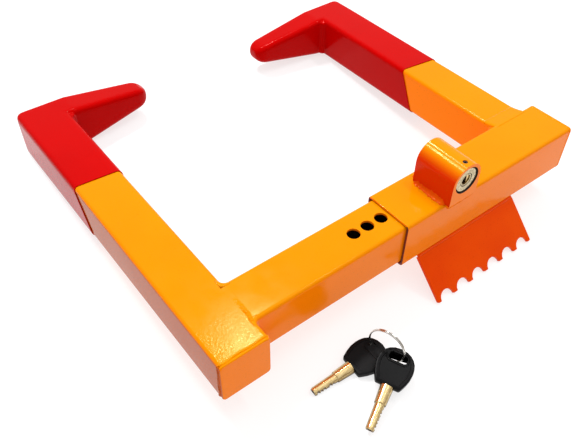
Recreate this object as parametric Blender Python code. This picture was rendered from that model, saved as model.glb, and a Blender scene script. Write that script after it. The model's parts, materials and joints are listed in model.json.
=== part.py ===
"""Claw-type wheel lock: two L-shaped arms on a telescoping square crossbar, pinned by a keyed bolt, with its two keys.

The lock is laid out in its own frame: X runs along the crossbar from the outer tube's open mouth, Y runs from the
crossbar's front face towards the claws, and Z runs up from the outer tube's underside. The whole lock then leans about X,
so that it stands on the anti-roll plate's teeth and on the far ends of its arms. The keys lie on the floor in front of it.
"""

import math
from collections import namedtuple

import bmesh
import bpy
from mathutils import Matrix, Vector

MM = 0.001
GAP = 0.3 * MM

# Crossbar
OUTER_SIDE = 45.0 * MM
INNER_SIDE = 40.0 * MM
WALL = 2.0 * MM
TUBE_CORNER = 3.2 * MM
OUTER_LENGTH = 202.5 * MM
CAP_THICK = 2.6 * MM
INNER_END_X = 100.0 * MM
HOLE_PITCH = 14.0 * MM
HOLE_RADIUS = 5.4 * MM
HOLES_OUTWARD = 6
HOLES_INWARD = 2

# Arms, claws and their dipped coating
LEFT_ARM_X = (-180.8 * MM, -140.8 * MM)
RIGHT_ARM_X = (149.8 * MM, 189.8 * MM)
LEFT_ARM_FRONT_Y = -14.8 * MM
LEFT_BACK_Y = 318.3 * MM
RIGHT_BACK_Y = 309.2 * MM
CLAW_REACH = 121.5 * MM
CLAW_ROOT_DEPTH = 27.0 * MM
CLAW_TIP_DEPTH = 20.0 * MM
CLAW_TIP_LOW = 12.0 * MM
CLAW_TIP_HIGH = 27.5 * MM
CLAW_KINK = 46.0 * MM
CLAW_TIP_ROUND = 9.0 * MM
CLAW_BACK_ROUND = 7.0 * MM
CLAW_EDGE = 4.0 * MM
COAT_CLEARANCE = 0.2 * MM
COAT_THICK = 0.7 * MM
DIP_SLOPE = 0.46
LEFT_DIP_Y = 194.0 * MM
LEFT_DIP_SKEW = -0.08
RIGHT_DIP_Y = 157.1 * MM
RIGHT_DIP_SKEW = -0.125

# Anti-roll plate
PLATE_X = (18.3 * MM, 136.3 * MM)
PLATE_START = 0.8 * MM
PLATE_LENGTH = 43.4 * MM
PLATE_THICK = 3.0 * MM
PLATE_SLOPE = math.radians(45)
NOTCH_COUNT = 6
NOTCH_PITCH = 19.2 * MM
NOTCH_RADIUS = 7.3 * MM
PLATE_EDGE = 0.8 * MM

# Lock housing, cylinder and bolt
LOCK_X = 55.0 * MM
LOCK_Z = 65.6 * MM
HOUSING_RADIUS = 15.0 * MM
HOUSING_FRONT_Y = -3.5 * MM
HOUSING_BACK_Y = 36.4 * MM
BORE_RADIUS = 12.2 * MM
BORE_BACK_Y = 29.5 * MM
FACE_RECESS = 1.0 * MM
BARREL_RADIUS = 11.9 * MM
BARREL_NOSE_RADIUS = 11.1 * MM
BARREL_BACK_Y = 14.0 * MM
PLUG_NOSE_RADIUS = 5.7 * MM
PLUG_NOSE_GAP = 0.5 * MM
PLUG_MOUTH_RADIUS = 4.5 * MM
PLUG_LIP = 0.7 * MM
PLUG_RADIUS = 6.9 * MM
PLUG_HOLLOW = 5.1 * MM
PLUG_BACK_Y = 13.7 * MM
DISC_COUNT = 6
DISC_PITCH = 2.1 * MM
DISC_THICK = 1.7 * MM
DISC_RADIUS = 4.75 * MM
KEYWAY_RADIUS = 4.0 * MM
KEYWAY_FLAT = 1.3 * MM
SIDE_BAR_WIDTH = 1.5 * MM
CAM_RADIUS = 8.5 * MM
CAM_THICK = 2.0 * MM
CAM_PIN_RADIUS = 1.7 * MM
CAM_PIN_END_Y = 22.8 * MM
BOLT_TRAVEL = 8.0 * MM
CAM_THROW = BOLT_TRAVEL / 2 / math.sin(math.radians(45))
BOLT_X = 48.3 * MM
BOLT_Y = OUTER_SIDE / 2
BOLT_RADIUS = 4.75 * MM
BOLT_LOW_Z = 43.0 * MM
BOLT_TOP_Z = 73.2 * MM
BOLT_BORE_RADIUS = 5.1 * MM
BOLT_SLOT_HALF = 2.15 * MM
SCREW_RADIUS = 1.9 * MM
SCREW_Y = 2.2 * MM

# Keys and their ring, on the floor; the places are measured from the lock frame's origin seen from above
BOW_LENGTH = 32.0 * MM
BOW_WIDTH = 29.0 * MM
BOW_NECK = 19.0 * MM
BOW_WIDEST = 0.5
BOW_FULLNESS = 2.6  # the power of the rounded end's curve: 2 is an ellipse, and more is squarer
BOW_THICK = 5.6 * MM
BOW_EDGE = 1.3 * MM
BOW_SLOT_PLACE = 24.0 * MM
BOW_SLOT = (6.6 * MM, 14.5 * MM)
SHANK_RADIUS = 5.2 * MM
SHANK_END_RADIUS = 4.5 * MM
SHANK_LENGTH = 14.5 * MM
BLADE_RADIUS = 3.8 * MM
BLADE_TIP_RADIUS = 3.4 * MM
BLADE_LENGTH = 35.5 * MM
BLADE_FLAT = 0.9 * MM
CUT_DEPTH = 0.3  # the deepest cut as a share of the bit's radius
TIP_BORE = (1.35 * MM, 3.0 * MM)
TANG = (12.0 * MM, 7.0 * MM, 2.4 * MM)
RING_PLACE = (-51.49 * MM, -41.75 * MM)
RING_CENTRE_Z = 15.7 * MM
RING_HEADING = math.radians(103.6)
RING_TILT = math.radians(-5.5)
RING_RADIUS = 15.2 * MM
RING_WIRE = 0.55 * MM
RING_TURNS = 1.85
RING_START = math.radians(248.3)

ARM_LOW_Z = (OUTER_SIDE - INNER_SIDE) / 2
PLATE_UNDER = PLATE_THICK * math.cos(PLATE_SLOPE)
FRONT_FOOT = (
    PLATE_UNDER - PLATE_LENGTH * math.cos(PLATE_SLOPE),
    -PLATE_UNDER - PLATE_LENGTH * math.sin(PLATE_SLOPE),
)
REAR_FOOT = (LEFT_BACK_Y - 4 * MM, ARM_LOW_Z - COAT_CLEARANCE - COAT_THICK)
LEAN = math.atan2(REAR_FOOT[1] - FRONT_FOOT[1], REAR_FOOT[0] - FRONT_FOOT[0])

Body = namedtuple("Body", "empty origin")
KeyPose = namedtuple("KeyPose", "place heading pitch roll rise")

KEY_1 = KeyPose((-80.0 * MM, -35.2 * MM), math.radians(178), math.radians(2.6), math.radians(3), 0.0)
KEY_2 = KeyPose(
    (-71.1 * MM, -64.7 * MM), math.radians(207.8), math.radians(6.5), math.radians(-2), 6.1 * MM
)


# Scene, materials and objects


def clear_scene():
    for obj in list(bpy.data.objects):
        bpy.data.objects.remove(obj, do_unlink=True)


def material(name, colour, roughness, metallic):
    made = bpy.data.materials.new(name)
    made.use_nodes = True
    shader = made.node_tree.nodes["Principled BSDF"]
    shader.inputs["Base Color"].default_value = (*colour, 1.0)
    shader.inputs["Roughness"].default_value = roughness
    shader.inputs["Metallic"].default_value = metallic
    made.diffuse_color = (*colour, 1.0)
    return made


def make_body(name, parent, origin=(0, 0, 0)):
    """An empty on a moving piece's joint axis; origin is its place in the parent's frame."""
    empty = bpy.data.objects.new(name, None)
    empty.location = Vector(origin)
    empty.parent = parent
    bpy.context.scene.collection.objects.link(empty)
    return Body(empty, Vector(origin))


def add_object(name, bm, look, body, round_shape=False):
    """The finished mesh as an object on its body. The mesh is given in the frame that the body's origin is given in."""
    bmesh.ops.remove_doubles(bm, verts=bm.verts, dist=1e-6)
    bmesh.ops.recalc_face_normals(bm, faces=bm.faces)
    bmesh.ops.translate(bm, verts=bm.verts, vec=-body.origin)
    mesh = bpy.data.meshes.new(name)
    bm.to_mesh(mesh)
    bm.free()
    if look:
        mesh.materials.append(look)
    if round_shape:
        mesh.shade_smooth()
        mesh.set_sharp_from_angle(angle=math.radians(35))
    obj = bpy.data.objects.new(name, mesh)
    obj.parent = body.empty
    bpy.context.scene.collection.objects.link(obj)
    return obj


def combine(target, tool_bm, body, operation="DIFFERENCE"):
    """Cuts the tool out of the target, or joins it on, with the tool kept as a hidden helper."""
    tool = add_object(f"{target.name}_tool_{len(target.modifiers)}", tool_bm, None, body)
    tool.hide_render = True
    tool.display_type = "WIRE"
    modifier = target.modifiers.new(operation.title(), "BOOLEAN")
    modifier.operation = operation
    modifier.solver = "EXACT"
    modifier.object = tool
    return tool


# Outlines, as lists of (u, v), and the ways to place them in space


def circle(radius, steps, centre=(0.0, 0.0)):
    turn = 2 * math.pi / steps
    return [
        (centre[0] + radius * math.cos(i * turn), centre[1] + radius * math.sin(i * turn))
        for i in range(steps)
    ]


def rounded_box(low, high, radius, steps=4):
    """A rectangle from corner low to corner high, with arcs for corners."""
    corners = (
        (high[0] - radius, high[1] - radius, 0),
        (low[0] + radius, high[1] - radius, 90),
        (low[0] + radius, low[1] + radius, 180),
        (high[0] - radius, low[1] + radius, 270),
    )
    points = []
    for u, v, start in corners:
        for i in range(steps + 1):
            angle = math.radians(start + 90 * i / steps)
            points.append((u + radius * math.cos(angle), v + radius * math.sin(angle)))
    return points


def half_round(radius, flat, steps=14, reach=None):
    """A circle with its lower part cut off flat below the centre; reach cuts its +u side short."""
    start = -math.asin(flat / radius)
    sweep = math.pi - 2 * start
    points = []
    for i in range(steps + 1):
        angle = start + sweep * i / steps
        points.append((radius * math.cos(angle), radius * math.sin(angle)))
    if reach is not None:
        points = [(min(u, reach), v) for u, v in points]
    return points


def along_x(point, depth):
    return Vector((depth, point[0], point[1]))


def along_y(point, depth):
    return Vector((point[0], depth, point[1]))


def along_z(point, depth):
    return Vector((point[0], point[1], depth))


def down_slope(point, depth):
    """u runs along the crossbar and v down the plate, away from the tube; depth runs into the plate."""
    out = -point[1] * math.cos(PLATE_SLOPE) + depth * math.sin(PLATE_SLOPE)
    down = -point[1] * math.sin(PLATE_SLOPE) - depth * math.cos(PLATE_SLOPE)
    return Vector((point[0], out, down))


# Solids as bmesh


def skin(rings, bm=None):
    """A closed solid through rings of points that all have the same count."""
    bm = bm or bmesh.new()
    made = [[bm.verts.new(p) for p in ring] for ring in rings]
    count = len(made[0])
    for low, high in zip(made, made[1:]):
        for i in range(count):
            j = (i + 1) % count
            bm.faces.new((low[i], low[j], high[j], high[i]))
    bm.faces.new(made[0][::-1])
    bm.faces.new(made[-1])
    return bm


def prism(outline, place, start, end):
    return skin([[place(p, depth) for p in outline] for depth in (start, end)])


def turned(profile, place, centre, steps=32):
    """A stepped round bar: profile is a list of (depth, radius)."""
    return skin([[place(p, depth) for p in circle(radius, steps, centre)] for depth, radius in profile])


def pipe(outer, inner, place, start, end):
    """A straight hollow bar with open ends; both outlines have the same count of points."""
    bm = bmesh.new()
    rings = [
        [bm.verts.new(place(p, depth)) for p in outline]
        for outline, depth in ((outer, start), (outer, end), (inner, end), (inner, start))
    ]
    count = len(outer)
    for a, b in zip(rings, rings[1:] + rings[:1]):
        for i in range(count):
            j = (i + 1) % count
            bm.faces.new((a[i], a[j], b[j], b[i]))
    return bm


def square_pipe(low, high, place, start, end):
    inner_low = (low[0] + WALL, low[1] + WALL)
    inner_high = (high[0] - WALL, high[1] - WALL)
    outer = rounded_box(low, high, TUBE_CORNER)
    inner = rounded_box(inner_low, inner_high, TUBE_CORNER - WALL)
    return pipe(outer, inner, place, start, end)


# Claws


def claw_solid(arm_x, back_y, grow):
    """The claw from its root, across the arm's full width, to its tip; grow thickens it all round."""
    inward = 1 if arm_x[0] < 0 else -1
    outer_x = arm_x[0] if inward > 0 else arm_x[1]
    tip_start = CLAW_REACH - CLAW_TIP_ROUND
    stations = [CLAW_BACK_ROUND * (1 - math.cos(math.radians(a))) for a in (0, 30, 52, 72, 90)]
    stations += [30 * MM, CLAW_KINK - 4 * MM, CLAW_KINK, CLAW_KINK + 5 * MM, 80 * MM, tip_start]
    stations += [tip_start + CLAW_TIP_ROUND * math.sin(math.radians(a)) for a in (25, 45, 62, 76, 90)]
    rings = []
    for s in stations:
        taper = max(0.0, (s - CLAW_KINK) / (CLAW_REACH - CLAW_KINK))
        low = taper * CLAW_TIP_LOW
        high = INNER_SIDE + taper * (CLAW_TIP_HIGH - INNER_SIDE)
        front = -CLAW_ROOT_DEPTH + taper * (CLAW_ROOT_DEPTH - CLAW_TIP_DEPTH)
        back = 0.0
        edge = TUBE_CORNER + min(1.0, s / CLAW_KINK) * (CLAW_EDGE - TUBE_CORNER)
        if s < CLAW_BACK_ROUND:
            back -= CLAW_BACK_ROUND - math.sqrt(CLAW_BACK_ROUND**2 - (CLAW_BACK_ROUND - s) ** 2)
        if s < TUBE_CORNER:
            inset = TUBE_CORNER - math.sqrt(TUBE_CORNER**2 - (TUBE_CORNER - s) ** 2)
            low += inset
            high -= inset
        if s > tip_start:
            t = (s - tip_start) / CLAW_TIP_ROUND
            pinch = 1 - math.sqrt(max(0.0, 1 - t * t))
            low += 0.38 * pinch * (high - low)
            high -= 0.38 * pinch * (high - low)
            front += 0.30 * pinch * CLAW_TIP_DEPTH
            back -= 0.30 * pinch * CLAW_TIP_DEPTH
        reach = s - grow if s < CLAW_BACK_ROUND else s
        reach = s + grow if s >= tip_start else reach
        half = min(high - low, back - front) / 2
        outline = rounded_box(
            (back_y + front - grow, ARM_LOW_Z + low - grow),
            (back_y + back + grow, ARM_LOW_Z + high + grow),
            min(edge, 0.8 * half) + grow,
        )
        rings.append([along_x(p, outer_x + inward * reach) for p in outline])
    return skin(rings)


def arm_bar(arm_x, start_y, end_y, grow):
    low = (arm_x[0] - grow, ARM_LOW_Z - grow)
    high = (arm_x[1] + grow, ARM_LOW_Z + INNER_SIDE + grow)
    return prism(rounded_box(low, high, TUBE_CORNER + grow), along_y, start_y, end_y)


def dip_cutter(arm_x, dip_y, skew):
    """A block in front of the slanted line down to which the arm was dipped."""
    margin = 5 * MM
    reach = 60 * MM
    mid_x = (arm_x[0] + arm_x[1]) / 2
    top_z = ARM_LOW_Z + INNER_SIDE
    corners = []
    for x, z in (
        (arm_x[0] - margin, ARM_LOW_Z - margin),
        (arm_x[1] + margin, ARM_LOW_Z - margin),
        (arm_x[1] + margin, top_z + margin),
        (arm_x[0] - margin, top_z + margin),
    ):
        corners.append(Vector((x, dip_y + skew * (x - mid_x) - DIP_SLOPE * (top_z - z), z)))
    return skin([[c - Vector((0, reach, 0)) for c in corners], corners])


def make_coating(name, arm_x, back_y, dip_y, skew, look, body):
    """A skin over the claw and the arm's end, open at the dip line, with its wall clear of the steel inside."""
    sliver = 0.02 * MM
    merge_y = back_y - CLAW_ROOT_DEPTH + 12 * MM
    thick = COAT_CLEARANCE + COAT_THICK
    bar_start = dip_y - 45 * MM
    coat = add_object(name, claw_solid(arm_x, back_y, thick), look, body, True)
    combine(coat, arm_bar(arm_x, bar_start, merge_y, thick - sliver), body, "UNION")
    hollow = add_object(f"{name}_hollow", claw_solid(arm_x, back_y, COAT_CLEARANCE), None, body)
    hollow.hide_render = True
    hollow.display_type = "WIRE"
    bar = arm_bar(arm_x, bar_start - MM, merge_y, COAT_CLEARANCE - sliver)
    combine(hollow, bar, body, "UNION")
    cut = coat.modifiers.new("Hollow", "BOOLEAN")
    cut.operation = "DIFFERENCE"
    cut.solver = "EXACT"
    cut.object = hollow
    combine(coat, dip_cutter(arm_x, dip_y, skew), body)
    return coat


# The two halves of the frame


def make_crossbar(looks, body):
    side = (0.0, 0.0), (OUTER_SIDE, OUTER_SIDE)
    tube_end = OUTER_LENGTH - CAP_THICK - GAP
    tube = add_object("outer_tube", square_pipe(*side, along_x, 0.0, tube_end), looks["orange"], body)
    hole = prism(circle(BOLT_BORE_RADIUS, 28, (BOLT_X, BOLT_Y)), along_z, 40 * MM, 50 * MM)
    combine(tube, hole, body)
    cap = prism(rounded_box(*side, TUBE_CORNER), along_x, OUTER_LENGTH - CAP_THICK, OUTER_LENGTH)
    add_object("outer_end_cap", cap, looks["orange"], body)


def make_right_arm(looks, body):
    low = (RIGHT_ARM_X[0], ARM_LOW_Z)
    high = (RIGHT_ARM_X[1], ARM_LOW_Z + INNER_SIDE)
    claw_front = RIGHT_BACK_Y - CLAW_ROOT_DEPTH
    arm = square_pipe(low, high, along_y, OUTER_SIDE + GAP, claw_front - GAP)
    add_object("right_arm_tube", arm, looks["orange"], body)
    add_object("right_claw", claw_solid(RIGHT_ARM_X, RIGHT_BACK_Y, 0.0), looks["steel"], body, True)
    make_coating(
        "right_tip_coating", RIGHT_ARM_X, RIGHT_BACK_Y, RIGHT_DIP_Y, RIGHT_DIP_SKEW, looks["red"], body
    )


def make_left_arm(looks, body):
    low = (LEFT_ARM_X[0], ARM_LOW_Z)
    high = (LEFT_ARM_X[1], ARM_LOW_Z + INNER_SIDE)
    claw_front = LEFT_BACK_Y - CLAW_ROOT_DEPTH
    plate_back = LEFT_ARM_FRONT_Y + CAP_THICK
    arm = square_pipe(low, high, along_y, plate_back + GAP, claw_front - GAP)
    add_object("left_arm_tube", arm, looks["orange"], body)
    plate = prism(rounded_box(low, high, TUBE_CORNER), along_y, LEFT_ARM_FRONT_Y, plate_back)
    add_object("left_arm_end_plate", plate, looks["orange"], body)
    add_object("left_claw", claw_solid(LEFT_ARM_X, LEFT_BACK_Y, 0.0), looks["steel"], body, True)
    make_coating(
        "left_tip_coating", LEFT_ARM_X, LEFT_BACK_Y, LEFT_DIP_Y, LEFT_DIP_SKEW, looks["red"], body
    )


def make_inner_tube(looks, body):
    low = (ARM_LOW_Z, ARM_LOW_Z)
    high = (ARM_LOW_Z + INNER_SIDE, ARM_LOW_Z + INNER_SIDE)
    tube = square_pipe(low, high, along_x, LEFT_ARM_X[1] + GAP, INNER_END_X)
    tube = add_object("inner_tube", tube, looks["orange"], body)
    holes = bmesh.new()
    for i in range(-HOLES_OUTWARD, HOLES_INWARD + 1):
        outline = circle(HOLE_RADIUS, 24, (BOLT_X + i * HOLE_PITCH, BOLT_Y))
        skin([[along_z(p, z) for p in outline] for z in (38 * MM, 45 * MM)], holes)
    combine(tube, holes, body)


def make_plate(looks, body):
    """The anti-roll plate: scalloped by round notches that leave pointed teeth along its outer edge."""
    first = (PLATE_X[0] + PLATE_X[1]) / 2 - NOTCH_PITCH * (NOTCH_COUNT - 1) / 2
    outline = [(PLATE_X[0], PLATE_START), (PLATE_X[0], PLATE_LENGTH - PLATE_EDGE)]
    outline.append((PLATE_X[0] + PLATE_EDGE, PLATE_LENGTH))
    for i in range(NOTCH_COUNT):
        centre = first + i * NOTCH_PITCH
        for angle in range(180, -1, -20):
            rise = NOTCH_RADIUS * math.sin(math.radians(angle))
            outline.append((centre + NOTCH_RADIUS * math.cos(math.radians(angle)), PLATE_LENGTH - rise))
    outline.append((PLATE_X[1] - PLATE_EDGE, PLATE_LENGTH))
    outline.append((PLATE_X[1], PLATE_LENGTH - PLATE_EDGE))
    outline.append((PLATE_X[1], PLATE_START))
    add_object("anti_roll_plate", prism(outline, down_slope, 0.0, PLATE_THICK), looks["orange"], body)


# The lock


def make_housing(looks, body):
    arch = [(LOCK_X + HOUSING_RADIUS, OUTER_SIDE + GAP)]
    for i in range(21):
        angle = math.pi * i / 20
        u = LOCK_X + HOUSING_RADIUS * math.cos(angle)
        arch.append((u, LOCK_Z + HOUSING_RADIUS * math.sin(angle)))
    arch.append((LOCK_X - HOUSING_RADIUS, OUTER_SIDE + GAP))
    block = prism(arch, along_y, HOUSING_FRONT_Y, HOUSING_BACK_Y)
    housing = add_object("lock_housing", block, looks["orange"], body, True)
    axis = (LOCK_X, LOCK_Z)
    bore = turned([(HOUSING_FRONT_Y - MM, BORE_RADIUS), (BORE_BACK_Y, BORE_RADIUS)], along_y, axis)
    combine(housing, bore, body)
    well = prism(circle(BOLT_BORE_RADIUS, 28, (BOLT_X, BOLT_Y)), along_z, OUTER_SIDE - MM, 67 * MM)
    combine(housing, well, body)
    screw_hole = prism(circle(SCREW_RADIUS + 0.2 * MM, 16, (LOCK_X, SCREW_Y)), along_z, 77 * MM, 83 * MM)
    combine(housing, screw_hole, body)


def make_barrel(looks, body):
    """The fixed sleeve of the lock cylinder: a nickel face ring, and a stepped bore that keeps the plug in."""
    axis = (LOCK_X, LOCK_Z)
    face = HOUSING_FRONT_Y + FACE_RECESS
    profile = [
        (face, BARREL_NOSE_RADIUS - 0.5 * MM),
        (face + 0.5 * MM, BARREL_NOSE_RADIUS),
        (face + 2.0 * MM, BARREL_NOSE_RADIUS),
        (face + 2.0 * MM, BARREL_RADIUS),
        (BARREL_BACK_Y, BARREL_RADIUS),
    ]
    barrel = add_object("lock_barrel", turned(profile, along_y, axis), looks["nickel"], body, True)
    nose = PLUG_NOSE_RADIUS + PLUG_NOSE_GAP
    hollow = PLUG_RADIUS + GAP
    step = face + 1.2 * MM
    opening = [(face - MM, nose), (step, nose), (step, hollow), (BARREL_BACK_Y + MM, hollow)]
    combine(barrel, turned(opening, along_y, axis), body)


def make_set_screw(looks, body):
    centre = (LOCK_X, SCREW_Y)
    low = LOCK_Z + BARREL_RADIUS + 2 * GAP
    top = LOCK_Z + HOUSING_RADIUS - 0.6 * MM
    profile = [(low, SCREW_RADIUS - 0.4 * MM), (low + 0.4 * MM, SCREW_RADIUS), (top, SCREW_RADIUS)]
    blank = turned(profile, along_z, centre, 16)
    screw = add_object("lock_set_screw", blank, looks["black"], body, True)
    combine(screw, prism(circle(1.0 * MM, 6, centre), along_z, top - 1.2 * MM, top + MM), body)


def make_plug(looks, body):
    """The turning core: the carrier with its round mouth, the discs and side bar in it, and the cam on its tail."""
    axis = (LOCK_X, LOCK_Z)
    face = HOUSING_FRONT_Y + FACE_RECESS
    shoulder = face + 1.2 * MM + GAP
    nose_face = face + 0.2 * MM
    front_wall = nose_face + PLUG_LIP
    profile = [
        (nose_face, PLUG_NOSE_RADIUS),
        (shoulder, PLUG_NOSE_RADIUS),
        (shoulder, PLUG_RADIUS),
        (PLUG_BACK_Y, PLUG_RADIUS),
    ]
    carrier = add_object("lock_plug", turned(profile, along_y, axis, 28), looks["nickel"], body, True)
    hollow = [(front_wall, PLUG_HOLLOW), (PLUG_BACK_Y + MM, PLUG_HOLLOW)]
    combine(carrier, turned(hollow, along_y, axis, 28), body)
    mouth = [(face - MM, PLUG_MOUTH_RADIUS), (front_wall + MM, PLUG_MOUTH_RADIUS)]
    combine(carrier, turned(mouth, along_y, axis, 28), body)
    slot_low = (LOCK_X - PLUG_RADIUS - MM, LOCK_Z - SIDE_BAR_WIDTH / 2 - GAP)
    slot_high = (LOCK_X - PLUG_HOLLOW + MM, LOCK_Z + SIDE_BAR_WIDTH / 2 + GAP)
    slot = rounded_box(slot_low, slot_high, 0.2 * MM, 1)
    combine(carrier, prism(slot, along_y, front_wall + MM, PLUG_BACK_Y - MM), body)
    bar_low = (LOCK_X - PLUG_RADIUS + 0.1 * MM, LOCK_Z - SIDE_BAR_WIDTH / 2)
    bar_high = (LOCK_X - DISC_RADIUS - 0.2 * MM, LOCK_Z + SIDE_BAR_WIDTH / 2)
    bar = rounded_box(bar_low, bar_high, 0.3 * MM, 2)
    bar = prism(bar, along_y, front_wall + MM + GAP, PLUG_BACK_Y - MM - GAP)
    add_object("side_bar", bar, looks["steel"], body)
    for i in range(DISC_COUNT):
        start = front_wall + GAP + i * DISC_PITCH
        disc = pipe_disc(start, start + DISC_THICK)
        add_object(f"detainer_disc_{i + 1}", disc, looks["brass"], body)
    make_cam(looks, body, front_wall + GAP + DISC_COUNT * DISC_PITCH)


def pipe_disc(start, end):
    """A detainer disc: round outside, with the key's half-round opening inside."""
    steps = 24
    outer = circle(DISC_RADIUS, steps, (LOCK_X, LOCK_Z))
    inner = []
    for u, v in circle(KEYWAY_RADIUS, steps):
        inner.append((LOCK_X + min(u, KEYWAY_FLAT), LOCK_Z + v))
    return pipe(outer, inner, along_y, start, end)


def make_cam(looks, body, boss_start):
    axis = (LOCK_X, LOCK_Z)
    disc_start = BARREL_BACK_Y + GAP
    disc_end = disc_start + CAM_THICK
    profile = [
        (boss_start, DISC_RADIUS),
        (disc_start, DISC_RADIUS),
        (disc_start, CAM_RADIUS),
        (disc_end, CAM_RADIUS),
    ]
    cam = add_object("lock_cam", turned(profile, along_y, axis, 28), looks["steel"], body, True)
    lift = CAM_THROW * math.sin(math.radians(45))
    pin = circle(CAM_PIN_RADIUS, 16, (LOCK_X - lift, LOCK_Z + lift))
    combine(cam, prism(pin, along_y, disc_end - MM, CAM_PIN_END_Y), body, "UNION")


def make_bolt(looks, body):
    """The locking bolt, raised: a round pin with a blind slot in its front, which the cam's pin lifts and lowers."""
    profile = [
        (BOLT_LOW_Z, BOLT_RADIUS - MM),
        (BOLT_LOW_Z + MM, BOLT_RADIUS),
        (BOLT_TOP_Z, BOLT_RADIUS),
    ]
    centre = (BOLT_X, BOLT_Y)
    bolt = add_object("locking_bolt", turned(profile, along_z, centre, 28), looks["steel"], body, True)
    flat_x = BOLT_X - BOLT_RADIUS + 2.65 * MM
    flat = rounded_box((flat_x - 6 * MM, BOLT_Y - 8 * MM), (flat_x, BOLT_Y + 8 * MM), 0.2 * MM, 1)
    combine(bolt, prism(flat, along_z, LOCK_Z + 0.4 * MM, BOLT_TOP_Z + MM), body)
    pin_z = LOCK_Z + CAM_THROW * math.sin(math.radians(45))
    slot_low = (LOCK_X - CAM_THROW - CAM_PIN_RADIUS - 0.45 * MM, pin_z - BOLT_SLOT_HALF)
    slot_high = (BOLT_X + 8 * MM, pin_z + BOLT_SLOT_HALF)
    slot = rounded_box(slot_low, slot_high, 0.3 * MM, 1)
    combine(bolt, prism(slot, along_y, BOLT_Y - 8 * MM, CAM_PIN_END_Y + 0.5 * MM), body)


# Keys


def bow_half_width(share):
    """Half of the bow's width, from its neck at share 0 to its round end at share 1."""
    neck = BOW_NECK / 2
    wide = BOW_WIDTH / 2
    if share <= BOW_WIDEST:
        return neck + (wide - neck) * math.sin(math.pi / 2 * share / BOW_WIDEST)
    return wide * math.sqrt(1 - ((share - BOW_WIDEST) / (1 - BOW_WIDEST)) ** BOW_FULLNESS)


def bow_outline():
    shares = [0.0, 0.08, 0.2, 0.35, 0.5, 0.62, 0.74, 0.84, 0.92, 0.975]
    near = [(-s * BOW_LENGTH, bow_half_width(s)) for s in shares]
    far = [(u, -v) for u, v in reversed(near)]
    return near + [(-BOW_LENGTH, 0.0)] + far


def bit_radius(depth):
    """The bit's radius at a distance from the bow: it tapers a little towards the tip."""
    share = (depth - SHANK_LENGTH) / (BLADE_LENGTH - SHANK_LENGTH)
    return BLADE_RADIUS + (BLADE_TIP_RADIUS - BLADE_RADIUS) * share


def blade_solid():
    """The blade along +X: a tapered shank, then a thinner half-round bit with six depths of cut along one edge."""
    cuts = (0.5, 0.9, 0.3, 0.75, 0.6, 0.95)
    cut_start = SHANK_LENGTH + 3 * MM
    cut_pitch = (BLADE_LENGTH - cut_start - 1.5 * MM) / len(cuts)
    levels = [(GAP, SHANK_RADIUS, None), (SHANK_LENGTH, SHANK_END_RADIUS, None)]
    levels.append((SHANK_LENGTH + 0.6 * MM, BLADE_RADIUS, None))
    for i, share in enumerate(cuts):
        start = cut_start + i * cut_pitch
        steps = ((0.0, 0), (0.5 * MM, share), (cut_pitch - 1.0 * MM, share), (cut_pitch - 0.4 * MM, 0))
        for step, cut in steps:
            radius = bit_radius(start + step)
            levels.append((start + step, radius, radius * (1 - CUT_DEPTH * cut)))
    levels.append((BLADE_LENGTH - 1.2 * MM, BLADE_TIP_RADIUS, None))
    levels.append((BLADE_LENGTH, BLADE_TIP_RADIUS * 0.85, None))
    return skin([
        [along_x(p, depth) for p in half_round(radius, BLADE_FLAT * radius / BLADE_RADIUS, 12, reach)]
        for depth, radius, reach in levels
    ])


def key_transform(pose):
    """Blade along the heading, with the tip drooping towards the floor and the bow rolled a little about it."""
    turn = Matrix.Rotation(pose.heading, 4, "Z") @ Matrix.Rotation(pose.pitch, 4, "Y")
    return Matrix.Translation((*pose.place, 0.0)) @ turn @ Matrix.Rotation(pose.roll, 4, "X")


def make_key(number, pose, looks, body):
    """One key, its bow's lowest edge at the pose's rise: a brass blade, and the moulded bow round the blade's tang."""
    posed = key_transform(pose)
    bow = prism(bow_outline(), along_z, -BOW_THICK / 2, BOW_THICK / 2)
    blade = blade_solid()
    for bm in (bow, blade):
        bmesh.ops.transform(bm, matrix=posed, verts=bm.verts)
    drop = Vector((0, 0, pose.rise - min(v.co.z for v in bow.verts)))
    placed = Matrix.Translation(drop) @ posed
    for bm in (bow, blade):
        bmesh.ops.translate(bm, verts=bm.verts, vec=drop)
    tang_low = (-TANG[1] / 2, -TANG[2] / 2)
    tang_high = (TANG[1] / 2, TANG[2] / 2)
    tang = prism(rounded_box(tang_low, tang_high, 0.4 * MM, 1), along_x, -TANG[0], 2 * MM)
    pocket_low = (tang_low[0] - GAP, tang_low[1] - GAP)
    pocket_high = (tang_high[0] + GAP, tang_high[1] + GAP)
    pocket = prism(rounded_box(pocket_low, pocket_high, 0.4 * MM, 1), along_x, -TANG[0] - GAP, 2 * MM)
    slot_low = (-BOW_SLOT_PLACE - BOW_SLOT[0] / 2, -BOW_SLOT[1] / 2)
    slot_high = (-BOW_SLOT_PLACE + BOW_SLOT[0] / 2, BOW_SLOT[1] / 2)
    slot = prism(rounded_box(slot_low, slot_high, 2.2 * MM), along_z, -BOW_THICK, BOW_THICK)
    bore_rise = (BLADE_TIP_RADIUS - BLADE_FLAT) * 0.85 / 2
    bore = prism(circle(TIP_BORE[0], 16, (0, bore_rise)), along_x, BLADE_LENGTH - TIP_BORE[1], BLADE_LENGTH + MM)
    for bm in (tang, pocket, slot, bore):
        bmesh.ops.transform(bm, matrix=placed, verts=bm.verts)
    bow = add_object(f"key_{number}_bow", bow, looks["black"], body, True)
    edge = bow.modifiers.new("Edge", "BEVEL")
    edge.width = BOW_EDGE
    edge.segments = 2
    edge.limit_method = "ANGLE"
    edge.angle_limit = math.radians(50)
    combine(bow, pocket, body)
    combine(bow, slot, body)
    blade = add_object(f"key_{number}_blade", blade, looks["brass"], body, True)
    combine(blade, tang, body, "UNION")
    combine(blade, bore, body)


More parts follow.
